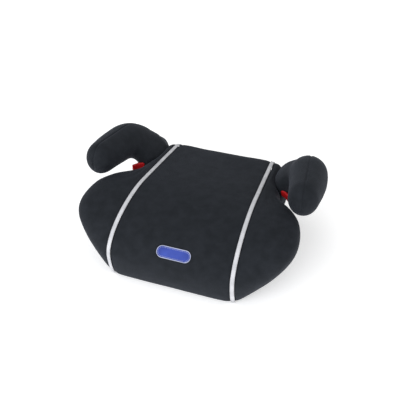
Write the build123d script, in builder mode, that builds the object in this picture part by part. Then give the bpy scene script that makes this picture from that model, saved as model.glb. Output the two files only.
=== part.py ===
"""Backless booster seat: a ribbed plastic base shell, two padded arms that guide the lap belt,
foam pads and a sewn cover.

Frame, in millimetres: +Z up, feet on Z = 0, -Y is the front that the child faces, +X is on the
right as seen from the front. Every layer of the body is the same smooth form, shrunk by an inset:
cover, foam and shell nest in each other.
"""

from build123d import *
import math
import os

# ---------- driving dimensions ----------
SEAT_HEIGHT = 131.0  # top of the padded seat at mid depth
SEAT_FALL = 11.5  # how much higher the front edge of the top is than mid depth
HALF_DEPTH = 165.0
FORM_Z = 1.0  # every form of the body starts here, below the parts themselves
BASE_Z = 2.5  # underside of the cover; the feet stand lower
WING = 203.0  # half width over the side wings
WAIST = 148.0  # half width at the belt slots
FRONT_Y, REAR_Y = -176.0, 166.0
BASE_HALF = 134.0  # half width at the floor
BASE_FRONT_SHARE, BASE_REAR_SHARE = 0.92, 0.933  # how far the floor outline reaches, as a share of the rim
CROWN_HALF, CROWN_SHARE = 121.0, 0.8  # half width of the flat seating area, and its share of the rim's width
CROWN_Y, CROWN_FRONT, CROWN_REAR = 60.0, 57.0, 78.0
UNDERCUT = 1.35  # roundness exponent below the rim
BASE_SQUARENESS, CROWN_SQUARENESS = 5.7, 4.0  # how sharply the outlines at the floor and of the crown turn
RIM_DROP = 0.2  # how far the widest point comes down for each millimetre of inset

COVER = 3.0  # laminated fabric
CLEAR = 0.5  # gap between neighbouring layers
TOUCH = 0.17  # gap between pieces that are fastened face to face
HOLE = 0.3  # how much wider a clearance hole is than what passes through it
THREAD = 0.1  # how much thinner a screw is than its threaded hole
THROUGH = 1.0  # how far a cut runs past the face that it opens
FOAM = 15.0
WALL = 3.0  # shell wall
PAD_Z = 5.3  # underside of the foam and the shell
SEAM_WIDTH, PIPING_RISE = 8.0, 1.4
SEAM_FRONT, SEAM_REAR = 119.0, 102.0  # distance of the piped seams from the middle at the front and the rear

RIB, RIB_Z = 2.5, 14.0
RIB_X = (-45.0, 45.0)
RIB_Y = (-104.0, -38.0, 30.0, 100.0)
FOOT_X, FOOT_Y = 82.0, (-104.0, 100.0)
FOOT_R, FOOT_HEIGHT, FOOT_EDGE, FOOT_STEM_R, FOOT_BARB_R, FOOT_BARB = 14.0, 8.0, 1.5, 3.5, 5.0, 3.0
POST_R, POST_WALL, POST_FLOOR, POST_BORE_TOP = 15.0, 2.5, 3.0, 87.5
HEM_WIDTH, HEM_THICK = 26.0, 2.0
CORD_R, CORD_INSET = 2.0, 24.5
PEG_R, PEG_HEAD_R, PEG_BOSS_R, PEG_Z, PEG_HEAD = 3.0, 5.0, 5.5, 1.2, 1.6
PEG_FRONT_Y, PEG_REAR_Y, PEG_SIDE = -121.0, 114.0, (93.0, 30.0)
LOOP_R, LOOP, LOOP_Z, TAIL_WIDTH = 7.0, 1.2, 3.1, 8.0

SOCKET_X, SOCKET_Y = 121.0, 96.0  # middle of the socket that holds the arm's tang
TANG_X, TANG_Y, TANG_Z, TANG_TOP = 18.0, 56.0, 49.0, 107.0
SOCKET_WALL, SOCKET_GAP, SOCKET_FLOOR, SOCKET_RIM = 2.5, 0.4, 4.0, 92.0
WEB_Z, WEB = 103.0, 4.0
BOLT_R, BOLT_HEAD_R, BOLT_HEAD, BOLT_LENGTH, BOLT_PITCH = 3.0, 5.0, 4.0, 20.0, 36.0
INSERT_R, INSERT_LENGTH, WASHER_R, WASHER = 4.5, 12.0, 6.5, 1.6
ARM_COVER, ARM_FOAM, ROOT_FOAM = 2.5, 9.0, 4.0
CORE_WALL = 3.0
GUIDE, GUIDE_Z, GUIDE_HEIGHT = 4.0, 101.0, 13.0
GUIDE_POSTS = ((150.5, 56.5), (158.5, 49.0))  # across, along
GUIDE_ARC = ((139, 60), (152, 54), (163, 42))  # plan of the bar's middle line
GUIDE_POST_R, GUIDE_SCREW_R, GUIDE_HEAD_R, GUIDE_HEAD = 3.0, 1.4, 2.4, 1.6
GUIDE_ROUND, GUIDE_BOSS_R = 1.6, 4.5
GUIDE_HOLE_Y, GUIDE_SEAT_Y = 60.0, 74.0  # tips of the screws, and where their heads sit
GUIDE_ACCESS = 8.0  # depth of the recess behind each screw's seat
SPLIT_ANGLE, SPLIT_X, SPLIT_Y = 14.0, 185.0, 75.0  # the arm core's halves meet on an upright plane
CLAMP_AT = ((-46.0, 124.0), (8.0, 151.0), (66.0, 157.0))  # along the split plane, height
CLAMP_R, CLAMP_HEAD_R, CLAMP_HEAD, CLAMP_LENGTH, CLAMP_BOSS_R = 2.0, 3.6, 2.4, 14.0, 6.5
CLAMP_SEAT, CLAMP_HOLE = 4.0, 12.0  # from the split plane to the head's seat, and to the end of the thread
CLAMP_REACH = 40.0  # more than half of the arm's width
PATCH_WIDTH, PATCH_HEIGHT, PATCH_RISE = 64.0, 21.0, 1.2
PATCH_X, PATCH_Y, PATCH_Z, PATCH_TILT = 6.0, -158.0, 84.0, 40.0

# Widest outline of the body from the middle of the front to the middle of the rear, right-hand half:
# across, along, height of the widest point there, roundness exponent above it
RIM = [
    (0, FRONT_Y, 50, 1.85),
    (90, FRONT_Y, 50, 1.85),
    (136, -169, 54, 1.95),
    (WING - 2, -126, 84, 2.7),
    (WING, -36, 106, 3.4),
    (WAIST, 31, 94, 3.4),
    (150, 90, 92, 3.4),
    (147, 132, 88, 3.2),
    (120, 160, 72, 2.8),
    (60, REAR_Y, 58, 2.8),
    (0, REAR_Y, 56, 2.8),
]
# Spine of the padded arm from its rear end to its tip: across, along, height, half width, half height
HORN = [
    (154, 145, 103, 26, 22),
    (177, 121, 119, 34, 34),
    (189, 83, 145, 36, 35),
    (197, 36, 153, 35, 34),
    (201, -18, 159, 29, 33),
]
# Root of the arm as footprints stacked upwards: height, across, along, half width, half length
ROOT = [
    (70, 124, 106, 26, 44),
    (95, 135, 105, 28, 46),
    (115, 150, 103, 30, 47),
    (135, 166, 99, 30, 46),
    (147, 179, 88, 18, 28),
]
ROOT_SQUARENESS = 2.6
LEVELS = (0.1, 0.21, 0.32, 0.43, 0.54, 0.64, 0.73, 0.81, 0.88, 0.93, 0.965, 0.99)  # body sections by height
CAP_ANGLES = (25, 47, 66, 82)  # sections that round off the arm's ends
HORN_STEPS = 12

os.makedirs("parts", exist_ok=True)


# ---------- forms ----------
def soft_limit(value, limit, sharpness):
    """value, eased so that its size never passes limit."""
    return value / (1 + abs(value / limit) ** sharpness) ** (1 / sharpness)


def symmetric_face(plane, half):
    """A smooth closed face from its right-hand half, which runs from the middle of the front to the rear."""
    with BuildSketch(plane) as section:
        with BuildLine():
            Spline(*half, tangents=((1, 0), (-1, 0)))
            Spline(*[(-x, y) for x, y in half], tangents=((-1, 0), (1, 0)))
        make_face()
    return section.sketch


def body_outline(z, inset):
    """Right-hand half of the body's outline at height z, shrunk by inset, from the middle of the front."""
    top = SEAT_HEIGHT - inset
    half = []
    for i, (x, y, rim_z, roundness) in enumerate(RIM):
        before, after = RIM[max(i - 1, 0)], RIM[min(i + 1, len(RIM) - 1)]
        tx, ty = after[0] - before[0], after[1] - before[1]
        if i == 0 or i == len(RIM) - 1:
            tx, ty = (1, 0) if i == 0 else (-1, 0)
        size = math.hypot(tx, ty)
        nx, ny = ty / size, -tx / size
        rx, ry = x - inset * nx, y - inset * ny
        rim_z = rim_z - RIM_DROP * inset
        if z <= rim_z:
            bx = soft_limit(rx, BASE_HALF - inset, BASE_SQUARENESS)
            by = ry * (BASE_FRONT_SHARE if ry < 0 else BASE_REAR_SHARE)
            share = math.sin(math.acos((1 - z / rim_z) ** (UNDERCUT / 2))) ** (2 / UNDERCUT)
            half.append((bx + (rx - bx) * share, by + (ry - by) * share))
        else:
            cx = soft_limit(CROWN_SHARE * rx, CROWN_HALF - inset, CROWN_SQUARENESS)
            along = ry - CROWN_Y
            cy = CROWN_Y + soft_limit(along, CROWN_FRONT if along < 0 else CROWN_REAR, CROWN_SQUARENESS)
            level = min((z - rim_z) / (top - rim_z), 1.0)
            share = 1 - math.cos(math.asin(level ** (roundness / 2))) ** (2 / roundness)
            half.append((rx + (cx - rx) * share, ry + (cy - ry) * share))
    return half


def body(inset, low=None):
    """The body's form shrunk by inset: a loft through its outlines, cut flat at height low."""
    top = SEAT_HEIGHT - inset
    sections = []
    for z in [FORM_Z] + [share * top for share in LEVELS]:
        slope = -SEAT_FALL / HALF_DEPTH * z / SEAT_HEIGHT
        normal = Vector(0, -slope, 1).normalized()
        stretch = math.hypot(1, slope)
        half = [(x, y * stretch) for x, y in body_outline(z, inset)]
        sections.append(symmetric_face(Plane(origin=(0, 0, z), x_dir=(1, 0, 0), z_dir=normal), half))
    with BuildPart() as form:
        loft(sections=sections)
        if low:
            split(bisect_by=Plane.XY.offset(low))
    return form.part


def along_horn(share):
    """Middle, direction, half width and half height of the arm at a share of its length, through HORN."""
    place = share * (len(HORN) - 1)
    i = min(int(place), len(HORN) - 2)
    t = place - i
    rows = [HORN[min(max(k, 0), len(HORN) - 1)] for k in (i - 1, i, i + 1, i + 2)]
    weights = (-t + 2 * t**2 - t**3, 2 - 5 * t**2 + 3 * t**3, t + 4 * t**2 - 3 * t**3, -(t**2) + t**3)
    slopes = (-1 + 4 * t - 3 * t**2, -10 * t + 9 * t**2, 1 + 8 * t - 9 * t**2, -2 * t + 3 * t**2)
    x, y, z, wide, tall = [sum(w * row[k] for w, row in zip(weights, rows)) / 2 for k in range(5)]
    along = Vector(*[sum(w * row[k] for w, row in zip(slopes, rows)) for k in range(3)]).normalized()
    return Vector(x, y, z), along, wide, tall


def horn(inset):
    """The forward-reaching part of an arm, shrunk by inset, with rounded ends."""
    stations = [(0, -angle) for angle in CAP_ANGLES[::-1]]
    stations += [(i / HORN_STEPS, 0) for i in range(HORN_STEPS + 1)]
    stations += [(1, angle) for angle in CAP_ANGLES]
    with BuildPart() as form:
        for share, angle in stations:
            middle, along, wide, tall = along_horn(share)
            reach, shrink = math.sin(math.radians(angle)), math.cos(math.radians(angle))
            middle += along * reach * (wide - inset)
            across = Vector(0, 0, 1).cross(along).normalized()
            with BuildSketch(Plane(origin=middle, x_dir=across, z_dir=along)):
                Ellipse((wide - inset) * shrink, (tall - inset) * shrink)
        loft()
    return form.part


def root(inset):
    """The pillar that joins an arm to the base, shrunk sideways by inset: stacked rounded rectangles."""
    sections = []
    for z, x, y, half_width, half_length in ROOT:
        half = []
        for step in range(9):
            turn = math.pi * step / 8
            share_x = abs(math.sin(turn)) ** (2 / ROOT_SQUARENESS)
            share_y = math.copysign(abs(math.cos(turn)) ** (2 / ROOT_SQUARENESS), -math.cos(turn))
            half.append(((half_width - inset) * share_x, (half_length - inset) * share_y))
        sections.append(symmetric_face(Plane(origin=(x, y, z), x_dir=(1, 0, 0), z_dir=(0, 0, 1)), half))
    with BuildPart() as form:
        loft(sections=sections)
    return form.part


def arm(inset, root_inset=None):
    """A whole right-hand arm, shrunk by inset."""
    with BuildPart() as form:
        add(horn(inset))
        add(root(inset if root_inset is None else root_inset))
    return form.part


def block(x_range, y_range, z_range):
    """A rectangular block between the given limits."""
    spans = (x_range, y_range, z_range)
    with BuildPart() as form:
        with Locations([Vector(*[sum(span) / 2 for span in spans])]):
            Box(*[span[1] - span[0] for span in spans])
    return form.part


def seam_x(y):
    """Distance from the middle of the piped seam at y."""
    return SEAM_FRONT + (SEAM_REAR - SEAM_FRONT) * (y - FRONT_Y) / (REAR_Y - FRONT_Y)


def column(inner, outer, side):
    """Everything between two offsets of the seam on one side, or between both seams when side is 0."""
    front, rear = 2 * FRONT_Y, 2 * REAR_Y
    if side == 0:
        corners = [(-seam_x(y) + inner, y) for y in (front, rear)]
        corners += [(seam_x(y) - inner, y) for y in (rear, front)]
    else:
        corners = [(side * (seam_x(y) + inner), y) for y in (front, rear)]
        corners += [(side * (seam_x(y) + outer), y) for y in (rear, front)]
    with BuildPart() as form:
        with BuildSketch():
            with BuildLine():
                Polyline(*corners, close=True)
            make_face()
        extrude(amount=2 * SEAT_HEIGHT)
    return form.part


def socket_block(grow, low, high):
    """The block that holds an arm's tang, grown sideways, on the right."""
    half_x, half_y = TANG_X / 2 + grow, TANG_Y / 2 + grow
    return block((SOCKET_X - half_x, SOCKET_X + half_x), (SOCKET_Y - half_y, SOCKET_Y + half_y), (low, high))


def rod(start, end, radius):
    """A round rod between two points."""
    path = Vector(*end) - Vector(*start)
    with BuildPart() as form:
        with BuildSketch(Plane(origin=start, z_dir=path)):
            Circle(radius)
        extrude(amount=path.length)
    return form.part


def both(piece):
    """A right-hand piece together with its mirror image on the left."""
    with BuildPart() as pair:
        add(piece)
        mirror(about=Plane.YZ)
    return pair.part


def keep_main(piece):
    """Drops the slivers that the cuts left beside a piece's largest solid."""
    add(piece.part.solids().sort_by(SortBy.VOLUME)[-1], mode=Mode.REPLACE)


def save(piece, name, edge_curves=False):
    """Label a finished piece and write its STEP file, with its edges' surface curves if asked."""
    piece.part.label = name
    export_step(piece.part, f"parts/{name}.step", write_pcurves=edge_curves)


def save_mirrored(piece, name, edge_curves=False):
    """Write a right-hand piece as name_right and its mirror image as name_left."""
    save(piece, f"{name}_right", edge_curves)
    with BuildPart() as other:
        mirror(piece.part, about=Plane.YZ)
    save(other, f"{name}_left", edge_curves)


outer = body(0, BASE_Z)
under_cover = body(COVER)
foam_outer = body(COVER + CLEAR, PAD_Z)
foam_inner = body(COVER + FOAM)
SHELL_INSET = COVER + FOAM + CLEAR
shell_outer = body(SHELL_INSET, PAD_Z)
shell_inner = body(SHELL_INSET + WALL)
arm_outer = arm(0)
arm_hole = arm(-CLEAR)
CORE_INSET, CORE_ROOT_INSET = ARM_COVER + ARM_FOAM + CLEAR, ARM_COVER + ROOT_FOAM + CLEAR
core_outer = arm(CORE_INSET, CORE_ROOT_INSET)
core_room = arm(CORE_INSET - CLEAR, CORE_ROOT_INSET - CLEAR)
guide_z = GUIDE_Z + GUIDE_HEIGHT / 2
bolts_at = [(SOCKET_X, SOCKET_Y + s * BOLT_PITCH / 2) for s in (-1, 1)]
feet_at = [(sx * FOOT_X, y) for sx in (-1, 1) for y in FOOT_Y]
pegs_at = [(sx * RIB_X[1], y) for sx in (-1, 1) for y in (PEG_FRONT_Y, PEG_REAR_Y)]
pegs_at += [(sx * PEG_SIDE[0], PEG_SIDE[1]) for sx in (-1, 1)]

# ---------- base shell: a ribbed tub, open below, with two arm sockets, four posts and six pegs ----------
with BuildPart() as ribs:
    for x in RIB_X:
        add(block((x - RIB / 2, x + RIB / 2), (FRONT_Y, REAR_Y), (RIB_Z, SEAT_HEIGHT)))
    for y in RIB_Y:
        add(block((-WING, WING), (y - RIB / 2, y + RIB / 2), (RIB_Z, SEAT_HEIGHT)))
    for x, y in feet_at:
        add(rod((x, y, FOOT_HEIGHT), (x, y, SEAT_HEIGHT), POST_R))
    for x, y in pegs_at:
        add(rod((x, y, RIB_Z), (x, y, SEAT_HEIGHT), PEG_BOSS_R))
    add(both(socket_block(SOCKET_GAP + SOCKET_WALL, TANG_Z - SOCKET_FLOOR, SEAT_HEIGHT)))

with BuildPart() as base_shell:
    add(shell_outer)
    add(shell_inner, mode=Mode.SUBTRACT)
    add(ribs.part & body(SHELL_INSET + WALL / 2, PAD_Z))
    add(both(socket_block(SOCKET_GAP + SOCKET_WALL, TANG_Z - SOCKET_FLOOR, SOCKET_RIM)))
    add(both(socket_block(SOCKET_GAP, TANG_Z, SEAT_HEIGHT)), mode=Mode.SUBTRACT)
    for x, y in bolts_at:
        add(both(rod((x, y, 0), (x, y, TANG_Z + THROUGH), BOLT_R + HOLE)), mode=Mode.SUBTRACT)
    for x, y in feet_at:
        floor_top = FOOT_HEIGHT + POST_FLOOR
        add(rod((x, y, floor_top), (x, y, POST_BORE_TOP), POST_R - POST_WALL), mode=Mode.SUBTRACT)
        add(rod((x, y, 0), (x, y, floor_top + THROUGH), FOOT_STEM_R + HOLE), mode=Mode.SUBTRACT)
    for x, y in pegs_at:
        add(rod((x, y, PEG_Z), (x, y, RIB_Z + THROUGH), PEG_R))
        add(rod((x, y, PEG_Z), (x, y, PEG_Z + PEG_HEAD), PEG_HEAD_R))
save(base_shell, "base_shell")

# ---------- foam ----------
with BuildPart() as seat_foam:
    add(foam_outer)
    add(foam_inner, mode=Mode.SUBTRACT)
    add(column(CLEAR, 0, 0), mode=Mode.INTERSECT)
    for side in (arm_hole, socket_block(SOCKET_WALL + SOCKET_GAP + CLEAR, 0, SEAT_HEIGHT)):
        add(both(side), mode=Mode.SUBTRACT)
save(seat_foam, "seat_foam")

with BuildPart() as side_foam:
    add(foam_outer)
    add(foam_inner, mode=Mode.SUBTRACT)
    add(column(CLEAR, WING, 1), mode=Mode.INTERSECT)
    add(arm_hole, mode=Mode.SUBTRACT)
    add(socket_block(SOCKET_WALL + SOCKET_GAP + CLEAR, 0, SEAT_HEIGHT), mode=Mode.SUBTRACT)
save_mirrored(side_foam, "side_foam")

# ---------- sewn cover ----------
with BuildPart() as cover_center:
    add(outer)
    add(under_cover, mode=Mode.SUBTRACT)
    add(column(SEAM_WIDTH / 2, 0, 0), mode=Mode.INTERSECT)
    add(both(arm_hole), mode=Mode.SUBTRACT)
save(cover_center, "cover_center")

with BuildPart() as cover_side:
    add(outer)
    add(under_cover, mode=Mode.SUBTRACT)
    add(column(SEAM_WIDTH / 2, WING, 1), mode=Mode.INTERSECT)
    add(arm_hole, mode=Mode.SUBTRACT)
save_mirrored(cover_side, "cover_side")

with BuildPart() as piping:
    add(body(-PIPING_RISE, BASE_Z))
    add(under_cover, mode=Mode.SUBTRACT)
    add(column(-SEAM_WIDTH / 2 + TOUCH, SEAM_WIDTH / 2 - TOUCH, 1), mode=Mode.INTERSECT)
    add(arm_hole, mode=Mode.SUBTRACT)
save_mirrored(piping, "piping")

patch_plane = Plane(origin=(PATCH_X, PATCH_Y, PATCH_Z), x_dir=(1, 0, 0), z_dir=(0, -1, 0))
patch_plane = patch_plane.rotated((-PATCH_TILT, 0, 0))
with BuildPart() as front_label:
    with BuildSketch(patch_plane.offset(-PATCH_HEIGHT)):
        SlotOverall(PATCH_WIDTH, PATCH_HEIGHT)
    extrude(amount=2 * PATCH_HEIGHT)
    add(body(-PATCH_RISE), mode=Mode.INTERSECT)
    add(outer, mode=Mode.SUBTRACT)
save(front_label, "front_label")

# ---------- hem: a band turned in under the cover, an elastic cord, six loops over the pegs ----------
HEM_OUTER = COVER + CLEAR
hem_edge = body(HEM_OUTER + HEM_WIDTH)
with BuildPart() as hem_band:
    add(body(HEM_OUTER, BASE_Z))
    add(hem_edge, mode=Mode.SUBTRACT)
    split(bisect_by=Plane.XY.offset(BASE_Z + HEM_THICK), keep=Keep.BOTTOM)
save(hem_band, "hem_band")

cord_half = body_outline(BASE_Z, CORD_INSET)
with BuildPart() as cord:
    with BuildLine():
        for side in (1, -1):
            Spline(*[(side * x, y) for x, y in cord_half], tangents=((side, 0), (-side, 0)))
    with BuildSketch(Plane.YZ):
        with Locations((cord_half[0][1], 0)):
            Circle(CORD_R)
    sweep()
with BuildPart() as hem_elastic:
    add(Pos(0, 0, BASE_Z + HEM_THICK + CLEAR + CORD_R) * cord.part)
save(hem_elastic, "hem_elastic")

with BuildPart() as elastic_loops:
    for x, y in pegs_at:
        out = Vector(x, 0, 0) if y == PEG_SIDE[1] else Vector(0, y, 0)
        out = out.normalized()
        with BuildSketch(Plane(origin=(x, y, LOOP_Z), x_dir=out, z_dir=(0, 0, 1))):
            Circle(LOOP_R)
            with Locations((WING / 2, 0)):
                Rectangle(WING, TAIL_WIDTH)
            Circle(PEG_R + HOLE, mode=Mode.SUBTRACT)
        extrude(amount=LOOP)
    add(body(HEM_OUTER + HEM_WIDTH + CLEAR), mode=Mode.INTERSECT)
save(elastic_loops, "elastic_loops")

with BuildPart() as rubber_feet:
    for x, y in feet_at:
        with BuildPart(mode=Mode.PRIVATE) as foot:
            add(rod((x, y, 0), (x, y, FOOT_HEIGHT), FOOT_R))
            chamfer(foot.edges().group_by(Axis.Z)[0], FOOT_EDGE)
            top = FOOT_HEIGHT + POST_FLOOR + TOUCH
            add(rod((x, y, FOOT_HEIGHT), (x, y, top), FOOT_STEM_R))
            add(rod((x, y, top), (x, y, top + FOOT_BARB), FOOT_BARB_R))
            chamfer(foot.edges().group_by(Axis.Z)[-1], FOOT_EDGE)
        add(foot.part)
save(rubber_feet, "rubber_feet")

# ---------- arms: a two-part plastic core on a tang, padded and covered ----------
split_axis = Vector(math.sin(math.radians(SPLIT_ANGLE)), -math.cos(math.radians(SPLIT_ANGLE)), 0)
split_out = Vector(math.cos(math.radians(SPLIT_ANGLE)), math.sin(math.radians(SPLIT_ANGLE)), 0)
clamps_at = [Vector(SPLIT_X, SPLIT_Y, 0) + split_axis * s + Vector(0, 0, z) for s, z in CLAMP_AT]
split_plane = Plane(origin=(SPLIT_X, SPLIT_Y, 0), x_dir=split_axis, z_dir=split_out)
tower_room = socket_block(SOCKET_WALL + SOCKET_GAP + CLEAR, 0, SOCKET_RIM + CLEAR)
clear_of_shell = body(SHELL_INSET - CLEAR)

with BuildPart() as core:
    add(core_outer)
    add(arm(CORE_INSET + CORE_WALL, CORE_ROOT_INSET + CORE_WALL), mode=Mode.SUBTRACT)
    add(block((0, WING), (0, REAR_Y), (WEB_Z, WEB_Z + WEB)) & core_outer)
    for at in clamps_at:
        add(rod(at - split_out * CLAMP_REACH, at + split_out * CLAMP_REACH, CLAMP_BOSS_R) & core_outer)
    for x, y in GUIDE_POSTS:
        add(rod((x, y, guide_z), (x, GUIDE_SEAT_Y, guide_z), GUIDE_BOSS_R) & core_outer)
    add(clear_of_shell, mode=Mode.SUBTRACT)
    add(tower_room, mode=Mode.SUBTRACT)
    add(socket_block(0, TANG_Z + CLEAR, TANG_TOP) & (clear_of_shell + core_outer + tower_room))
    for x, y in bolts_at:
        add(rod((x, y, TANG_Z), (x, y, TANG_Z + CLEAR + INSERT_LENGTH), INSERT_R), mode=Mode.SUBTRACT)
        add(rod((x, y, TANG_Z), (x, y, TANG_Z + BOLT_LENGTH), BOLT_R + CLEAR), mode=Mode.SUBTRACT)
    for x, y in GUIDE_POSTS:
        seat, end = (x, GUIDE_SEAT_Y, guide_z), (x, GUIDE_SEAT_Y + GUIDE_ACCESS, guide_z)
        add(rod((x, y, guide_z), end, GUIDE_SCREW_R + HOLE), mode=Mode.SUBTRACT)
        add(rod(seat, end, GUIDE_BOSS_R), mode=Mode.SUBTRACT)

with BuildPart() as arm_core_inner:
    add(core.part)
    split(bisect_by=split_plane, keep=Keep.BOTTOM)
    for at in clamps_at:
        add(rod(at - split_out * CLAMP_HOLE, at + split_out, CLAMP_R), mode=Mode.SUBTRACT)
    keep_main(arm_core_inner)
save_mirrored(arm_core_inner, "arm_core_inner", edge_curves=True)

with BuildPart() as arm_core_outer:
    add(core.part)
    split(bisect_by=split_plane.offset(TOUCH), keep=Keep.TOP)
    for at in clamps_at:
        end = at + split_out * CLAMP_REACH
        add(rod(at - split_out, end, CLAMP_R + HOLE), mode=Mode.SUBTRACT)
        add(rod(at + split_out * CLAMP_SEAT, end, CLAMP_HEAD_R + HOLE), mode=Mode.SUBTRACT)
    keep_main(arm_core_outer)
save_mirrored(arm_core_outer, "arm_core_outer")

with BuildPart() as arm_foam:
    add(arm(ARM_COVER + CLEAR))
    add(core_room, mode=Mode.SUBTRACT)
    add(clear_of_shell, mode=Mode.SUBTRACT)
    add(tower_room, mode=Mode.SUBTRACT)
    for x, _ in GUIDE_POSTS:
        add(rod((x, 0, guide_z), (x, GUIDE_SEAT_Y, guide_z), GUIDE_POST_R + HOLE), mode=Mode.SUBTRACT)
save_mirrored(arm_foam, "arm_foam")

with BuildPart() as arm_cover:
    add(arm_outer)
    add(arm(ARM_COVER), mode=Mode.SUBTRACT)
    add(foam_outer, mode=Mode.SUBTRACT)
    for x, _ in GUIDE_POSTS:
        add(rod((x, 0, guide_z), (x, GUIDE_SEAT_Y, guide_z), GUIDE_POST_R + HOLE), mode=Mode.SUBTRACT)
save_mirrored(arm_cover, "arm_cover")

# ---------- belt guides: a curved bar across the closed end of each belt slot, on two hollow posts ----------
with BuildPart() as belt_guide:
    with BuildSketch(Plane.XY.offset(GUIDE_Z)):
        SlotArc(ThreePointArc(*GUIDE_ARC, mode=Mode.PRIVATE), GUIDE)
    extrude(amount=GUIDE_HEIGHT)
    ends = belt_guide.edges().group_by(Axis.Z)
    fillet(ends[0] + ends[-1], GUIDE_ROUND)
    add(arm_hole, mode=Mode.SUBTRACT)
    for x, y in GUIDE_POSTS:
        add(rod((x, y, guide_z), (x, GUIDE_SEAT_Y, guide_z), GUIDE_POST_R))
    for x, _ in GUIDE_POSTS:
        blind, seat = (x, GUIDE_HOLE_Y - THROUGH, guide_z), (x, GUIDE_SEAT_Y + THROUGH, guide_z)
        add(rod(blind, seat, GUIDE_SCREW_R), mode=Mode.SUBTRACT)
    add(core_room, mode=Mode.SUBTRACT)
    add(body(-CLEAR), mode=Mode.SUBTRACT)
save_mirrored(belt_guide, "belt_guide")

# ---------- fasteners ----------
with BuildPart() as belt_guide_screws:
    for x, _ in GUIDE_POSTS:
        add(both(rod((x, GUIDE_HOLE_Y, guide_z), (x, GUIDE_SEAT_Y, guide_z), GUIDE_SCREW_R - THREAD)))
        add(both(rod((x, GUIDE_SEAT_Y, guide_z), (x, GUIDE_SEAT_Y + GUIDE_HEAD, guide_z), GUIDE_HEAD_R)))
save(belt_guide_screws, "belt_guide_screws")

with BuildPart() as arm_core_screws:
    for at in clamps_at:
        seat = at + split_out * CLAMP_SEAT
        add(both(rod(seat, seat + split_out * CLAMP_HEAD, CLAMP_HEAD_R)))
        add(both(rod(seat - split_out * CLAMP_LENGTH, seat, CLAMP_R - THREAD)))
save(arm_core_screws, "arm_core_screws")

washer_z = TANG_Z - SOCKET_FLOOR - WASHER
with BuildPart() as arm_bolts:
    for x, y in bolts_at:
        add(both(rod((x, y, washer_z - BOLT_HEAD), (x, y, washer_z), BOLT_HEAD_R)))
        add(both(rod((x, y, washer_z), (x, y, washer_z + BOLT_LENGTH), BOLT_R)))
        with BuildSketch(Plane.XY.offset(washer_z - BOLT_HEAD)):
            with Locations((x, y), (-x, y)):
                RegularPolygon(BOLT_R, 6)
        extrude(amount=BOLT_HEAD / 2, mode=Mode.SUBTRACT)
save(arm_bolts, "arm_bolts")

with BuildPart() as arm_washers:
    for x, y in bolts_at:
        with BuildSketch(Plane.XY.offset(washer_z)):
            with Locations((x, y), (-x, y)):
                Circle(WASHER_R)
                Circle(BOLT_R + HOLE, mode=Mode.SUBTRACT)
        extrude(amount=WASHER)
save(arm_washers, "arm_washers")

with BuildPart() as arm_inserts:
    for x, y in bolts_at:
        with BuildSketch(Plane.XY.offset(TANG_Z + CLEAR)):
            with Locations((x, y), (-x, y)):
                Circle(INSERT_R)
                Circle(BOLT_R + THREAD, mode=Mode.SUBTRACT)
        extrude(amount=INSERT_LENGTH)
save(arm_inserts, "arm_inserts")
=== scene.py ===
"""Looks of the booster seat: sewn fabric panels, trims, padded arms and plastic parts round the CAD frame."""
import math
import bmesh
import bpy
import numpy as np
from mathutils import Matrix, Vector, noise
from mathutils.bvhtree import BVHTree


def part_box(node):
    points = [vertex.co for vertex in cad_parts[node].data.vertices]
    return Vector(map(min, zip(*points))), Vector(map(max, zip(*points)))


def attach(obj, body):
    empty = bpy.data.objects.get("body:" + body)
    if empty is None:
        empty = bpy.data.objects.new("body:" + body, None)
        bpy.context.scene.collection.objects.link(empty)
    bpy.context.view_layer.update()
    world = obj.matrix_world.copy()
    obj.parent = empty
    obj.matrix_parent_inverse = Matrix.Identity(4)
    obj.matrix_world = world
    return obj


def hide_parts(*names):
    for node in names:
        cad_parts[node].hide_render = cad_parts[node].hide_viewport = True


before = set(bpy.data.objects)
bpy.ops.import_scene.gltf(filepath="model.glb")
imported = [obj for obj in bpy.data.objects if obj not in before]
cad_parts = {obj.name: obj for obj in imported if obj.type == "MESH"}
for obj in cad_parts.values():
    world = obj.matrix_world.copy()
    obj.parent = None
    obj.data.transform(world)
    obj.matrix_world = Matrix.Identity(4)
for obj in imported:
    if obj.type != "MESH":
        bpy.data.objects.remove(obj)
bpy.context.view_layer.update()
MM = 0.001

# ---------- sizes, in metres ----------
GRID = 3.2 * MM  # spacing of the cover's mesh before its last subdivision
HEM_LEVEL = 30.0 * MM  # below this height the cover's sides are found level, not slanting
COVER_INSET = 0.8 * MM  # how far the cover starts inside the CAD surface before it swells
TRIM_WIDTH = 8.0 * MM
TRIM_RISE = 1.4 * MM  # of the CAD trim over the CAD cover
TRIM_THICKNESS = 1.2 * MM
TRIM_CROWN = 1.5 * MM  # of the sewn trim over the fabric
TRIM_STITCH_LINE = 3.0 * MM  # from the trim's middle to each row of stitches
SEAM_DIP = 2.2 * MM  # how far the fabric sinks into a sewn seam
SEAM_ROLL = 9.0 * MM  # distance over which it sinks
HEM_ROLL = 7.0 * MM  # height of the rounded edge over the hem
HEM_TURN = 3.0 * MM  # how far that edge turns in
FABRIC = 1.6 * MM  # thickness
SWELL_CAP = 5.0 * MM
SWELL_PRESSURE = 4.0
ARM_VOXEL = 3.4 * MM
ARM_SWELL_CAP = 5.0 * MM
ARM_SEAM_DIP = 1.5 * MM
ARM_SEAM_LINES = (-5, -2.6, -1.2, 0, 1.2, 2.6, 5)  # mm from the arm's lengthwise seam
ARM_ROOT_REACH = 14.0 * MM  # distance over which the cover sinks towards an arm's root
PATCH_ROUND = 10.5 * MM  # radius of the patch's round ends
PATCH_LIFT = 0.9 * MM
HEM_THICKNESS = 0.8 * MM


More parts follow.
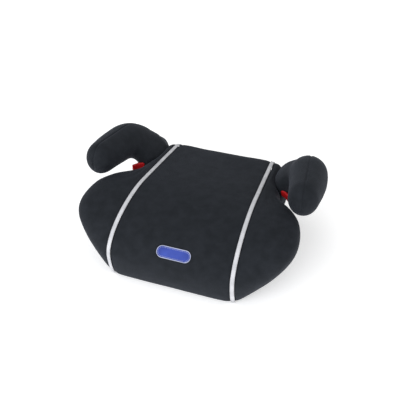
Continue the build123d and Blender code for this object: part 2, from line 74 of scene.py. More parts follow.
# ---------- helpers ----------
def mesh_object(name, vertices, faces):
    """A new mesh object from vertices and faces, shaded smooth."""
    mesh = bpy.data.meshes.new(name)
    mesh.from_pydata([tuple(v) for v in vertices], [], faces)
    mesh.validate()
    mesh.shade_smooth()
    piece = bpy.data.objects.new(name, mesh)
    bpy.context.scene.collection.objects.link(piece)
    return piece


def points(piece):
    """The piece's vertices as an array."""
    co = np.zeros(len(piece.data.vertices) * 3)
    piece.data.vertices.foreach_get("co", co)
    return co.reshape(-1, 3)


def set_points(piece, co):
    piece.data.vertices.foreach_set("co", np.asarray(co, float).ravel())
    piece.data.update()


def normals(piece):
    n = np.zeros(len(piece.data.vertices) * 3)
    piece.data.vertices.foreach_get("normal", n)
    return n.reshape(-1, 3)


def apply_modifiers(piece):
    """Bakes the piece's modifiers into its mesh."""
    graph = bpy.context.evaluated_depsgraph_get()
    graph.update()
    baked = bpy.data.meshes.new_from_object(piece.evaluated_get(graph))
    piece.modifiers.clear()
    piece.data = baked
    return piece


def tree_of(*nodes):
    """One search tree over the CAD nodes' surfaces."""
    vertices, triangles = [], []
    for node in nodes:
        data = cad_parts[node].data
        start = len(vertices)
        vertices += [v.co.copy() for v in data.vertices]
        triangles += [[start + i for i in p.vertices] for p in data.polygons]
    return BVHTree.FromPolygons(vertices, triangles)


def smoothstep(low, high, value):
    t = np.clip((value - low) / (high - low), 0, 1)
    return t * t * (3 - 2 * t)


def simulate(piece, pinned, pressure, cap, stiffness=15.0):
    """Swells a closed or pinned fabric piece by cloth simulation, each point within cap of its start."""
    start = points(piece)
    group = piece.vertex_groups.new(name="pinned")
    for i, weight in enumerate(pinned):
        if weight > 0.01:
            group.add([i], float(weight), "REPLACE")
    cloth = piece.modifiers.new("cloth", "CLOTH")
    cloth.settings.quality = 5
    cloth.settings.mass = 0.3
    cloth.settings.tension_stiffness = stiffness
    cloth.settings.compression_stiffness = stiffness
    cloth.settings.shear_stiffness = stiffness / 3
    cloth.settings.bending_stiffness = 0.5
    cloth.settings.use_pressure = True
    cloth.settings.uniform_pressure_force = pressure
    cloth.settings.effector_weights.gravity = 0
    cloth.settings.vertex_group_mass = "pinned"
    cloth.collision_settings.use_collision = False
    scene = bpy.context.scene
    for step in range(1, 21):
        scene.frame_set(step)
    apply_modifiers(piece)
    scene.frame_set(1)
    move = points(piece) - start
    length = np.linalg.norm(move, axis=1)
    move *= (cap * np.tanh(length / cap) / np.maximum(length, 1e-9))[:, None]
    set_points(piece, start + move)
    piece.vertex_groups.clear()


def relax(piece, rounds, weight=0.5, hold=None):
    """Plain smoothing of the vertices along the mesh, leaving those in hold where they are."""
    edges = np.zeros(len(piece.data.edges) * 2, int)
    piece.data.edges.foreach_get("vertices", edges)
    edges = edges.reshape(-1, 2)
    co = points(piece)
    count = np.bincount(edges.ravel(), minlength=len(co))[:, None]
    for _ in range(rounds):
        total = np.zeros_like(co)
        np.add.at(total, edges[:, 0], co[edges[:, 1]])
        np.add.at(total, edges[:, 1], co[edges[:, 0]])
        step = (total / np.maximum(count, 1) - co) * weight
        if hold is not None:
            step[hold] = 0
        co = co + step
    set_points(piece, co)


# ---------- procedural materials ----------
def new_material(name, color, roughness):
    """A material with a Principled shader, and its node tree's pieces."""
    material = bpy.data.materials.new(name)
    material.use_nodes = True
    nodes, links = material.node_tree.nodes, material.node_tree.links
    shader = nodes["Principled BSDF"]
    shader.inputs["Base Color"].default_value = (*color, 1)
    shader.inputs["Roughness"].default_value = roughness
    return material, nodes, links, shader


def math_node(nodes, links, operation, first, second=None):
    """A math node fed by sockets or numbers; returns its output."""
    node = nodes.new("ShaderNodeMath")
    node.operation = operation
    for socket, value in zip(node.inputs, (first, second)):
        if value is None:
            continue
        if isinstance(value, (int, float)):
            socket.default_value = value
        else:
            links.new(value, socket)
    return node.outputs[0]


def noise_node(nodes, links, place, scale, detail=4.0):
    """Fractal noise in object space; returns its value between 0 and 1."""
    node = nodes.new("ShaderNodeTexNoise")
    node.inputs["Scale"].default_value = scale
    node.inputs["Detail"].default_value = detail
    links.new(place, node.inputs["Vector"])
    return node.outputs["Fac"]


def ramp_node(nodes, links, value, stops):
    """A colour ramp from (place, colour) stops; returns its colour."""
    node = nodes.new("ShaderNodeValToRGB")
    ramp = node.color_ramp
    while len(ramp.elements) < len(stops):
        ramp.elements.new(0.5)
    for element, (place, color) in zip(ramp.elements, stops):
        element.position = place
        element.color = (*color, 1)
    links.new(value, node.inputs["Fac"])
    return node.outputs["Color"]


def bump_node(nodes, links, shader, height, strength, distance):
    node = nodes.new("ShaderNodeBump")
    node.inputs["Strength"].default_value = strength
    node.inputs["Distance"].default_value = distance
    links.new(height, node.inputs["Height"])
    links.new(node.outputs["Normal"], shader.inputs["Normal"])


def weave_height(nodes, links, place, pitch):
    """Interlaced threads of the given pitch on all three planes, mixed by the surface's direction."""
    split = nodes.new("ShaderNodeSeparateXYZ")
    links.new(place, split.inputs[0])
    facing = nodes.new("ShaderNodeNewGeometry")
    split_normal = nodes.new("ShaderNodeSeparateXYZ")
    links.new(facing.outputs["Normal"], split_normal.inputs[0])
    turn = 2 * math.pi / pitch
    waves, shares = [], []
    for axis in range(3):
        phase = math_node(nodes, links, "MULTIPLY", split.outputs[axis], turn)
        waves.append(math_node(nodes, links, "SINE", phase))
        size = math_node(nodes, links, "ABSOLUTE", split_normal.outputs[axis])
        shares.append(math_node(nodes, links, "POWER", size, 3.0))
    total = None
    for axis in range(3):
        cross = math_node(nodes, links, "MULTIPLY", waves[(axis + 1) % 3], waves[(axis + 2) % 3])
        part = math_node(nodes, links, "MULTIPLY", cross, shares[axis])
        total = part if total is None else math_node(nodes, links, "ADD", total, part)
    return total


def fabric_material(name, low, high, pitch=2.2 * MM, bump=0.35, sheen=0.07, roughness=0.85):
    """Knitted fabric: interlaced threads, small colour variation, a soft sheen."""
    material, nodes, links, shader = new_material(name, high, roughness)
    place = nodes.new("ShaderNodeTexCoord").outputs["Object"]
    weave = weave_height(nodes, links, place, pitch)
    mottle = noise_node(nodes, links, place, 60, 6)
    fuzz = noise_node(nodes, links, place, 900, 2)
    mixed = math_node(nodes, links, "ADD", math_node(nodes, links, "MULTIPLY", weave, 0.12), mottle)
    color = ramp_node(nodes, links, mixed, [(0.3, low), (0.7, high)])
    links.new(color, shader.inputs["Base Color"])
    height = math_node(nodes, links, "ADD", weave, math_node(nodes, links, "MULTIPLY", fuzz, 0.8))
    bump_node(nodes, links, shader, height, bump, 0.4 * MM)
    shader.inputs["Sheen Weight"].default_value = sheen
    shader.inputs["Sheen Roughness"].default_value = 0.45
    shader.inputs["Sheen Tint"].default_value = (0.72, 0.8, 1.0, 1)
    shader.inputs["Specular IOR Level"].default_value = 0.18
    return material


def plastic_material(name, low, high, roughness, grain=350.0, bump=0.12):
    """Moulded plastic: fine grain, slight colour and gloss variation."""
    material, nodes, links, shader = new_material(name, high, roughness)
    place = nodes.new("ShaderNodeTexCoord").outputs["Object"]
    cloud = noise_node(nodes, links, place, 18, 5)
    links.new(ramp_node(nodes, links, cloud, [(0.35, low), (0.65, high)]), shader.inputs["Base Color"])
    spread = math_node(nodes, links, "MULTIPLY", cloud, 0.2)
    links.new(math_node(nodes, links, "ADD", spread, roughness - 0.1), shader.inputs["Roughness"])
    fine = noise_node(nodes, links, place, 10 * grain, 3)
    bump_node(nodes, links, shader, fine, bump, 0.15 * MM)
    return material


def metal_material(name, color, roughness):
    """Plated or turned metal with fine streaks and slight tarnish."""
    material, nodes, links, shader = new_material(name, color, roughness)
    shader.inputs["Metallic"].default_value = 1.0
    place = nodes.new("ShaderNodeTexCoord").outputs["Object"]
    tarnish = noise_node(nodes, links, place, 220, 4)
    darker = tuple(0.7 * c for c in color)
    links.new(ramp_node(nodes, links, tarnish, [(0.3, darker), (0.6, color)]), shader.inputs["Base Color"])
    spread = math_node(nodes, links, "MULTIPLY", tarnish, 0.25)
    links.new(math_node(nodes, links, "ADD", spread, roughness - 0.1), shader.inputs["Roughness"])
    bump_node(nodes, links, shader, noise_node(nodes, links, place, 2500, 2), 0.1, 0.05 * MM)
    return material


# ---------- the padded body ----------
COVERS = ("cover_center", "cover_side_left", "cover_side_right")
TRIMS = ("piping_left", "piping_right")
low_corner = Vector([min(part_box(n)[0][i] for n in COVERS) for i in range(3)])
high_corner = Vector([max(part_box(n)[1][i] for n in COVERS) for i in range(3)])
trim_low, trim_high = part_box("piping_right")
seam_front = trim_high.x - TRIM_WIDTH / 2
seam_rear = trim_low.x + TRIM_WIDTH / 2
seam_lean = (seam_rear - seam_front) / (trim_high.y - trim_low.y)


def seam_distance(co, side):
    """Signed distance from a seam's middle plane, positive outwards."""
    middle = seam_front + seam_lean * (co[:, 1] - trim_low.y)
    return (side * co[:, 0] - middle) / math.hypot(1, seam_lean)


def body_grid():
    """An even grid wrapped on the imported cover: each point of an open box is cast inwards on to the cover."""
    cover, trim = tree_of(*COVERS), tree_of(*TRIMS)
    middle = (low_corner + high_corner) / 2
    size = high_corner - low_corner
    counts = [round(s / GRID) for s in size]
    index, vertices, faces = {}, [], []

    def corner(i, j, k):
        key = (i, j, k)
        if key not in index:
            index[key] = len(vertices)
            vertices.append(Vector([low_corner[a] + size[a] * key[a] / counts[a] for a in range(3)]))
        return index[key]

    def face(*keys):
        faces.append([corner(*key) for key in keys])

    nx, ny, nz = counts
    for i in range(nx):
        for j in range(ny):
            face((i, j, nz), (i + 1, j, nz), (i + 1, j + 1, nz), (i, j + 1, nz))
    for k in range(nz):
        for i in range(nx):
            face((i, 0, k), (i + 1, 0, k), (i + 1, 0, k + 1), (i, 0, k + 1))
            face((i + 1, ny, k), (i, ny, k), (i, ny, k + 1), (i + 1, ny, k + 1))
        for j in range(ny):
            face((nx, j, k), (nx, j + 1, k), (nx, j + 1, k + 1), (nx, j, k + 1))
            face((0, j + 1, k), (0, j, k), (0, j, k + 1), (0, j + 1, k + 1))

    level, share = HEM_LEVEL, 0.55
    co, missing = [], []
    for n, at in enumerate(vertices):
        inner_z = at.z if at.z < level else level + 0.4 * (at.z - level)
        inner = Vector((middle.x + share * (at.x - middle.x), middle.y + share * (at.y - middle.y), inner_z))
        inner.z = max(inner.z, low_corner.z + 0.3 * MM)
        out = at - inner
        if at.z < level:
            out.z = 0
        reach = out.length * 1.3
        out.normalize()
        start = inner + out * reach
        hit = cover.ray_cast(start, -out, reach)[0]
        if hit is None:
            hit = trim.ray_cast(start, -out, reach)[0]
            if hit is not None:
                hit = hit - out * TRIM_RISE
        if hit is None:
            missing.append(n)
            hit = at
        co.append(hit)
    piece = mesh_object("body", co, faces)
    fill(piece, missing)
    hem_edge = [n for n, at in enumerate(vertices) if at.z < low_corner.z + 0.01 * MM]
    relax(piece, 24, 0.5, hold=hem_edge)
    return piece, points(piece)[hem_edge]


def fill(piece, missing):
    """Stretches the mesh smoothly over vertices whose place is unknown."""
    if not missing:
        return
    free = np.zeros(len(piece.data.vertices), bool)
    free[missing] = True
    known = points(piece)
    middle = known[~free].mean(axis=0)
    edges = np.array([e.vertices[:] for e in piece.data.edges])
    near = free[edges[:, 0]] | free[edges[:, 1]]
    edges = edges[near]
    count = np.bincount(edges.ravel(), minlength=len(known))[:, None]
    rim = np.unique(edges[~(free[edges[:, 0]] & free[edges[:, 1]])])
    rim = rim[~free[rim]]
    side = np.where(known[:, 0] > middle[0], 1, -1)
    for s in (1, -1):
        known[free & (side == s)] = known[rim[side[rim] == s]].mean(axis=0)
    for _ in range(600):
        total = np.zeros_like(known)
        np.add.at(total, edges[:, 0], known[edges[:, 1]])
        np.add.at(total, edges[:, 1], known[edges[:, 0]])
        known[free] = (total / np.maximum(count, 1))[free]
    set_points(piece, known)


def cut_along_seams(piece, offsets):
    """Adds mesh lines along both seams at the given distances from their middle."""
    bm = bmesh.new()
    bm.from_mesh(piece.data)
    for side in (1, -1):
        normal = Vector((side, -seam_lean, 0)).normalized()
        for offset in offsets:
            at = Vector((side * seam_front, trim_low.y, 0)) + normal * offset
            geometry = bm.verts[:] + bm.edges[:] + bm.faces[:]
            bmesh.ops.bisect_plane(bm, geom=geometry, plane_co=at, plane_no=normal, dist=0.05 * MM)
    bm.to_mesh(piece.data)
    bm.free()
    piece.data.update()


def part_of(piece, name, keep):
    """A new piece from the faces whose vertices keep() accepts."""
    bm = bmesh.new()
    bm.from_mesh(piece.data)
    co = np.array([f.calc_center_median()[:] for f in bm.faces])
    wanted = keep(co)
    bmesh.ops.delete(bm, geom=[f for f, ok in zip(bm.faces[:], wanted) if not ok], context="FACES")
    mesh = bpy.data.meshes.new(name)
    bm.to_mesh(mesh)
    bm.free()
    mesh.shade_smooth()
    part = bpy.data.objects.new(name, mesh)
    bpy.context.scene.collection.objects.link(part)
    return part


def ripple(co, size):
    """Smooth random values between -1 and 1 over the points, with bumps of the given size."""
    return np.array([noise.noise(Vector(p) / size) for p in co])


def thicken(piece, thickness, levels):
    """Gives a sheet its thickness inwards, closed at its edges, and smooths it by subdivision."""
    solid = piece.modifiers.new("thickness", "SOLIDIFY")
    solid.thickness = thickness
    solid.offset = -1
    solid.use_quality_normals = True
    if levels:
        smooth = piece.modifiers.new("smooth", "SUBSURF")
        smooth.levels = levels
        smooth.render_levels = levels
    apply_modifiers(piece)
    piece.data.shade_smooth()


TRIM_HALF = TRIM_WIDTH / 2
SEAM_LINES = [0, 1.8, 3.0, 3.6, 4.0, 4.5, 5.3, 6.6, 8.6, 11.5]  # mm from the seam's middle, on both sides
fabric = fabric_material("knit_fabric", (0.0085, 0.0105, 0.0135), (0.0145, 0.0170, 0.0215))
trim_fabric = fabric_material("light_trim", (0.50, 0.50, 0.52), (0.66, 0.66, 0.68), 1.5 * MM, 0.4, 0.05, 0.7)
FINE = {"pitch": 0.8 * MM, "bump": 0.3, "sheen": 0.05, "roughness": 0.7}
thread_light = fabric_material("light_thread", (0.42, 0.42, 0.44), (0.6, 0.6, 0.62), **FINE)
thread_dark = fabric_material("dark_thread", (0.012, 0.012, 0.014), (0.03, 0.03, 0.034), **FINE)
PATCH_BLUES = (0.035, 0.06, 0.30), (0.05, 0.085, 0.40)
patch_fabric = fabric_material("woven_patch", *PATCH_BLUES, 0.9 * MM, 0.45, 0.05, 0.6)
PATCH_GREYS = (0.42, 0.45, 0.60), (0.55, 0.58, 0.72)
patch_thread = fabric_material("patch_thread", *PATCH_GREYS, 0.7 * MM, 0.3, 0.05, 0.6)


def finish_piece(piece, material, slot, *nodes):
    """Gives a piece its material and its body, and hides the CAD nodes it stands for; the slot is not used."""
    piece.data.materials.clear()
    piece.data.materials.append(material)
    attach(piece, "root")
    if nodes:
        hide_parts(*nodes)
    return piece


body, hem_line = body_grid()
set_points(body, points(body) - normals(body) * COVER_INSET)
co = points(body)
seam_near = np.minimum(np.abs(seam_distance(co, 1)), np.abs(seam_distance(co, -1)))
held_at_seams = 1 - smoothstep(4 * MM, 16 * MM, seam_near)
held_at_hem = 1 - smoothstep(0, 12 * MM, co[:, 2] - low_corner.z)
simulate(body, np.maximum(held_at_seams, held_at_hem), SWELL_PRESSURE, SWELL_CAP)
cut_along_seams(body, [s * d * MM for d in SEAM_LINES for s in ((1, -1) if d else (1,))])

# ---------- the arms ----------
def largest_island(piece):
    """Keeps only the connected part of the mesh that spans the largest box."""
    bm = bmesh.new()
    bm.from_mesh(piece.data)
    bm.verts.ensure_lookup_table()
    seen, best, best_span = set(), None, 0
    for first in bm.verts:
        if first in seen:
            continue
        island, queue = [], [first]
        seen.add(first)
        while queue:
            vertex = queue.pop()
            island.append(vertex)
            for edge in vertex.link_edges:
                other = edge.other_vert(vertex)
                if other not in seen:
                    seen.add(other)
                    queue.append(other)
        at = np.array([v.co[:] for v in island])
        span = np.linalg.norm(at.max(axis=0) - at.min(axis=0))
        if span > best_span:
            best, best_span = set(island), span
    bmesh.ops.delete(bm, geom=[v for v in bm.verts if v not in best], context="VERTS")
    bm.to_mesh(piece.data)
    bm.free()


def bridge(piece, rounds, weight=0.5):
    """Fills a mesh's hollows as stretched fabric does, with smoothing steps that only lead outwards."""
    edges = np.array([e.vertices[:] for e in piece.data.edges])
    co = points(piece)
    count = np.bincount(edges.ravel(), minlength=len(co))[:, None]
    for _ in range(rounds):
        n = normals(piece)
        total = np.zeros_like(co)
        np.add.at(total, edges[:, 0], co[edges[:, 1]])
        np.add.at(total, edges[:, 1], co[edges[:, 0]])
        rise = np.sum((total / count - co) * n, axis=1)
        co = co + n * (weight * np.maximum(rise, 0))[:, None]
        set_points(piece, co)


def arm_form():
    """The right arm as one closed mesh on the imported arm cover's surface."""
    vertices, faces = [], []
    for node in ("arm_cover_right", "arm_foam_right", "arm_core_inner_right", "arm_core_outer_right"):
        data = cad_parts[node].data
        start = len(vertices)
        vertices += [v.co[:] for v in data.vertices]
        faces += [[start + i for i in p.vertices] for p in data.polygons]
    piece = mesh_object("arm", vertices, faces)
    remesh = piece.modifiers.new("remesh", "REMESH")
    remesh.mode = "VOXEL"
    remesh.voxel_size = ARM_VOXEL
    apply_modifiers(piece)
    largest_island(piece)
    relax(piece, 6, 0.5)
    cover = tree_of("arm_cover_right")
    co = points(piece)
    for i, at in enumerate(co):
        near, _, _, distance = cover.find_nearest(Vector(at))
        if distance < 4 * MM:
            co[i] = near
    set_points(piece, co)
    relax(piece, 3, 0.5)
    bridge(piece, 40)
    relax(piece, 3, 0.5)
    return piece


def crease(co, n, start, end, depth, width):
    """Moves points inwards along their normals in a soft valley from start to end."""
    a, b = np.array(start), np.array(end)
    along = b - a
    t = np.clip(((co - a) @ along) / (along @ along), 0, 1)
    distance = np.linalg.norm(co - (a + t[:, None] * along), axis=1)
    fade = np.sin(np.pi * np.clip(t, 0.04, 0.96)) ** 0.5
    return co - n * (depth * fade * np.exp(-((distance / width) ** 2)))[:, None]


arm_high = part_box("arm_cover_right")[1]
guide_low, guide_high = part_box("belt_guide_right")
arm_right = arm_form()
co = points(arm_right)
rise = co[:, 2] - high_corner.z
simulate(arm_right, 1 - smoothstep(-14 * MM, 14 * MM, rise), SWELL_PRESSURE, ARM_SWELL_CAP)
co = points(arm_right)
free_part = co[:, 2] > high_corner.z + 8 * MM
lean, place = np.polyfit(co[free_part, 1], co[free_part, 0], 1)
seam_normal = Vector((1, -lean, 0)).normalized()
bm = bmesh.new()
bm.from_mesh(arm_right.data)
for offset in ARM_SEAM_LINES:
    geometry = bm.verts[:] + bm.edges[:] + bm.faces[:]
    at = Vector((place, 0, 0)) + seam_normal * offset * MM
    bmesh.ops.bisect_plane(bm, geom=geometry, plane_co=at, plane_no=seam_normal, dist=0.05 * MM)
bm.to_mesh(arm_right.data)
bm.free()


def mirrored(piece, name):
    """A copy of the piece mirrored to the other side."""
    copy = piece.copy()
    copy.data = piece.data.copy()
    copy.name = name
    bpy.context.scene.collection.objects.link(copy)
    copy.data.transform(Matrix.Scale(-1, 4, (1, 0, 0)))
    copy.data.flip_normals()
    return copy


def dress_arm(piece, side):
    """Lengthwise seam, gathers over the belt guide and soft unevenness of one arm's cover."""
    co, n = points(piece), normals(piece)
    flat = co * [side, 1, 1]
    from_seam = np.abs(flat @ np.array(seam_normal) - place * seam_normal.x)
    middle_z = 0.5 * (arm_high.z + high_corner.z)
    on_seam = smoothstep(-24 * MM, -6 * MM, co[:, 2] - middle_z)
    co -= n * (ARM_SEAM_DIP * on_seam * np.exp(-((from_seam / (1.5 * MM)) ** 2)))[:, None]
    co += n * (0.45 * MM * ripple(co + 0.3 * side, 38 * MM))[:, None]
    gx, gy, gz = guide_low.x, guide_high.y, guide_high.z
    gathers = (  # start and end in mm from the guide, depth, width
        ((0, 0, 2), (16, 34, 30), 1.5, 3.2),
        ((4, -6, 2), (24, 14, 28), 1.1, 2.8),
        ((-4, 8, 2), (4, 48, 20), 1.6, 3.4),
        ((10, -8, 4), (36, 2, 30), 0.9, 2.6),
    )
    for start, end, depth, width in gathers:
        a = (side * (gx + start[0] * MM), gy + start[1] * MM, gz + start[2] * MM)
        b = (side * (gx + end[0] * MM), gy + end[1] * MM, gz + end[2] * MM)
        co = crease(co, n, a, b, depth * MM, width * MM)
    set_points(piece, co)


arm_left = mirrored(arm_right, "arm_left")
for piece, side in ((arm_right, 1), (arm_left, -1)):
    dress_arm(piece, side)

# ---------- cover panels ----------
view_graph = bpy.context.evaluated_depsgraph_get()
arm_trees = [BVHTree.FromObject(piece, view_graph) for piece in (arm_right, arm_left)]


def sink_at_arms(co, n):
    """Fabric sinks into the seam round each arm's root."""
    sunk = np.zeros(len(co))
    for i, at in enumerate(co):
        tree = arm_trees[0] if at[0] > 0 else arm_trees[1]
        near = tree.find_nearest(Vector(at), ARM_ROOT_REACH)
        if near[0] is not None and at[2] > high_corner.z - 75 * MM:
            sunk[i] = (1 - near[3] / ARM_ROOT_REACH) ** 2
    return co - n * (3.0 * MM * sunk)[:, None]


def dress_panel(piece, seed):
    """Rolled edges at the seams, small gathers beside them and a folded hem."""
    co, n = points(piece), normals(piece)
    beyond = np.minimum(np.abs(seam_distance(co, 1)), np.abs(seam_distance(co, -1))) - TRIM_HALF
    t = np.clip(beyond / SEAM_ROLL, 0, 1)
    dip = SEAM_DIP * (1 - np.sqrt(np.clip(1 - (1 - t) ** 2, 0, 1)))
    gather = 0.5 * MM * ripple(co * [0.35, 1, 1] + seed, 9 * MM) * np.exp(-np.maximum(beyond, 0) / (8 * MM))
    wave = 0.5 * MM * ripple(co + seed, 55 * MM)
    hem = np.clip(1 - (co[:, 2] - low_corner.z) / HEM_ROLL, 0, 1)
    co = co + n * (gather + wave - dip)[:, None]
    inward = -co * [1, 1, 0] / np.linalg.norm(co[:, :2], axis=1)[:, None]
    co = co + inward * (HEM_TURN * (1 - np.sqrt(1 - hem**2)))[:, None]
    set_points(piece, sink_at_arms(co, n))


levels = 1
panels = (
    ("panel_center", lambda co: np.maximum(seam_distance(co, 1), seam_distance(co, -1)) < -TRIM_HALF,
     ("cover_center", "seat_foam")),
    ("panel_side_right", lambda co: seam_distance(co, 1) > TRIM_HALF,
     ("cover_side_right", "side_foam_right")),
    ("panel_side_left", lambda co: seam_distance(co, -1) > TRIM_HALF,
     ("cover_side_left", "side_foam_left")),
)
for seed, (name, keep, nodes) in enumerate(panels):
    panel = part_of(body, name, keep)
    dress_panel(panel, 3.7 * seed)
    thicken(panel, FABRIC, levels)
    finish_piece(panel, fabric, "knit_fabric", *nodes)


# ---------- trims with their stitches ----------
def stitch_row(name, path, normals_at, length, gap, radius):
    """A row of short thread stitches along a path, as one mesh."""
    vertices, faces = [], []
    steps = np.linalg.norm(np.diff(path, axis=0), axis=1)
    run = np.concatenate([[0], np.cumsum(steps)])
    rings, sides = ((-0.5, 0.3, -0.4), (-0.32, 1.0, 0.35), (0.32, 1.0, 0.35), (0.5, 0.3, -0.4)), 6
    for at in np.arange(gap, run[-1] - length, length + gap):
        middle = np.array([np.interp(at + length / 2, run, path[:, k]) for k in range(3)])
        ahead = np.array([np.interp(at + length, run, path[:, k]) for k in range(3)]) - middle
        up = np.array([np.interp(at + length / 2, run, normals_at[:, k]) for k in range(3)])
        along = Vector(ahead).normalized()
        up = (Vector(up) - along * along.dot(Vector(up))).normalized()
        across = along.cross(up)
        start = len(vertices)
        for place_on, fat, lift in rings:
            for k in range(sides):
                turn = 2 * math.pi * k / sides
                spoke = across * math.cos(turn) + up * math.sin(turn)
                ring = Vector(middle) + along * place_on * length + up * lift * radius
                vertices.append(ring + spoke * fat * radius)
        for r in range(len(rings) - 1):
            for k in range(sides):
                a, b = start + r * sides + k, start + r * sides + (k + 1) % sides
                faces.append([a, b, b + sides, a + sides])
        faces.append([start + k for k in range(sides)][::-1])
        faces.append([start + (len(rings) - 1) * sides + k for k in range(sides)])
    return mesh_object(name, vertices, faces)


def path_on(piece, wanted):
    """Vertices of a seam line ordered from the front hem over the top to the rear hem, with their normals."""
    co, n = points(piece)[wanted], normals(piece)[wanted]
    turn = np.arctan2(co[:, 2] - 0.4 * high_corner.z, -co[:, 1])
    turn[turn < -math.pi / 2] += 2 * math.pi
    order = np.argsort(turn)
    return co[order], n[order]


for side, word in ((1, "right"), (-1, "left")):
    trim = part_of(body, f"trim_{word}", lambda co, s=side: np.abs(seam_distance(co, s)) < TRIM_HALF)
    co, n = points(trim), normals(trim)
    across = seam_distance(co, side)
    raised = TRIM_CROWN * (1 - (np.abs(across) / (4.3 * MM)) ** 4) - 0.3 * MM
    set_points(trim, co + n * raised[:, None])
    for k, line in enumerate((-TRIM_STITCH_LINE, TRIM_STITCH_LINE)):
        path, up = path_on(trim, np.abs(across - line) < 0.05 * MM)
        row = stitch_row(f"trim_stitches_{word}_{k + 1}", path, up, 3.0 * MM, 1.4 * MM, 0.32 * MM)
        finish_piece(row, thread_light, "light_trim")
    thicken(trim, TRIM_THICKNESS, levels)
    finish_piece(trim, trim_fabric, "light_trim", f"piping_{word}")
bpy.data.objects.remove(body)

for piece, word in ((arm_right, "right"), (arm_left, "left")):
    if levels:
        piece.modifiers.new("smooth", "SUBSURF").levels = 1
        apply_modifiers(piece)
    piece.name = f"arm_pad_{word}"
    piece.data.shade_smooth()
    finish_piece(piece, fabric, "knit_fabric", f"arm_cover_{word}", f"arm_foam_{word}")

# ---------- plain woven patch on the front, with a stitched border ----------
label_low, label_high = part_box("front_label")
label_middle = (label_low + label_high) / 2
label_half = (label_high.x - label_low.x) / 2
label_straight = label_half - PATCH_ROUND
panel_tree = BVHTree.FromObject(bpy.data.objects["panel_center"], bpy.context.evaluated_depsgraph_get())
label_near, label_out = panel_tree.find_nearest(label_middle)[:2]
label_across = Vector((1, 0, 0))
label_up = label_out.cross(label_across).normalized()


def on_panel(across, up, lift):
    """A point over the front panel, from its place on the patch, and the panel's normal there."""
    at = label_near + label_across * across + label_up * up
    hit, normal = panel_tree.ray_cast(at + label_out * 30 * MM, -label_out)[:2]
    return hit + normal * lift, normal


def pill(turn, shrink):
    """Point on the patch's outline at an angle, moved inwards by shrink."""
    across = math.cos(turn) * (PATCH_ROUND - shrink) + math.copysign(label_straight, math.cos(turn))
    return across, math.sin(turn) * (PATCH_ROUND - shrink)


PATCH_STEPS, PATCH_ROWS = 48, 10
vertices, faces = [], []
for i in range(PATCH_STEPS + 1):
    across = 0.999 * label_half * math.sin(math.pi * (i / PATCH_STEPS - 0.5))
    beyond = max(abs(across) - label_straight, 0)
    top = math.sqrt(PATCH_ROUND**2 - beyond**2)
    for j in range(PATCH_ROWS + 1):
        share = 2 * j / PATCH_ROWS - 1
        vertices.append(on_panel(across, top * share, PATCH_LIFT)[0])
for i in range(PATCH_STEPS):
    for j in range(PATCH_ROWS):
        a = i * (PATCH_ROWS + 1) + j
        faces.append([a, a + PATCH_ROWS + 1, a + PATCH_ROWS + 2, a + 1])
patch = mesh_object("front_patch", vertices, faces)
thicken(patch, PATCH_LIFT, levels)
finish_piece(patch, patch_fabric, "label_weave", "front_label")


def patch_path(shrink, lift):
    """A closed path round the patch, with the panel's normals."""
    corners = [math.radians(a) for a in range(-88, 89, 8)]
    turns = corners + [math.pi + a for a in corners] + corners[:1]
    pairs = [on_panel(*pill(turn, shrink), lift) for turn in turns]
    return np.array([p[0][:] for p in pairs]), np.array([p[1][:] for p in pairs])


PATCH_ROWS_OF_THREAD = (  # name, distance in from the edge, stitch length, gap and radius in mm
    ("patch_border", 0.2, 1.1, -0.25, 0.75),
    ("patch_stitches", 2.6, 2.2, 1.0, 0.28),
)
for name, shrink, length, gap, radius in PATCH_ROWS_OF_THREAD:
    path, up = patch_path(shrink * MM, 1.0 * MM)
    finish_piece(stitch_row(name, path, up, length * MM, gap * MM, radius * MM), patch_thread, "label_weave")

# ---------- hem: gathered fabric turned in under the seat, sewn round its elastic ----------
HEM_STEPS = 360
line_turns = np.arctan2(hem_line[:, 1], hem_line[:, 0])
line_order = np.argsort(line_turns)
hem_turns = np.linspace(-math.pi, math.pi, HEM_STEPS, endpoint=False)
line_turns, hem_line = line_turns[line_order], hem_line[line_order]
hem_axes = [np.interp(hem_turns, line_turns, hem_line[:, k], period=2 * math.pi) for k in (0, 1)]
base_line = np.stack(hem_axes, axis=1)
along = np.roll(base_line, -3, axis=0) - np.roll(base_line, 3, axis=0)
hem_inward = np.stack([-along[:, 1], along[:, 0]], axis=1) / np.linalg.norm(along, axis=1)[:, None]
# the turned-in strip from the cover's edge to the casing: mm inwards, mm above the cover's underside
hem_section = [(0.6, 3.6), (2.2, 1.5), (5, 0.9), (9, 0.7), (13, 0.7), (17, 0.7), (20, 0.8), (22.5, 0.9)]
HEM_STITCH_ROW = 6  # point of that strip which the stitches follow
CASING_AT, CASING_Z, CASING_R = 26.0, 3.9, 3.1  # casing's middle, inwards and up, and its radius in mm
for turn in range(0, 331, 30):
    angle = math.radians(turn)
    hem_section.append((CASING_AT + CASING_R * math.sin(angle), CASING_Z - CASING_R * math.cos(angle)))
hem_shift = np.random.default_rng(4).uniform(-0.5, 0.5, HEM_STEPS)
vertices, faces = [], []
for i in range(HEM_STEPS):
    pleat = math.sin(2 * math.pi * i / 6 + hem_shift[i])
    for inset, z in hem_section:
        share = min(inset / CASING_AT, 1)
        at = base_line[i] + hem_inward[i] * inset * MM
        vertices.append((at[0], at[1], low_corner.z + (z + 0.35 * share * (1 + pleat)) * MM))
rows = len(hem_section)
for i in range(HEM_STEPS):
    for j in range(rows - 1):
        a, b = i * rows + j, ((i + 1) % HEM_STEPS) * rows + j
        faces.append([a, a + 1, b + 1, b])
hem = mesh_object("hem", vertices, faces)
hem_points = points(hem).reshape(HEM_STEPS, rows, 3)
hem_row = np.vstack([hem_points[:, HEM_STITCH_ROW], hem_points[:1, HEM_STITCH_ROW]]) - [0, 0, 0.3 * MM]
thicken(hem, HEM_THICKNESS, levels)
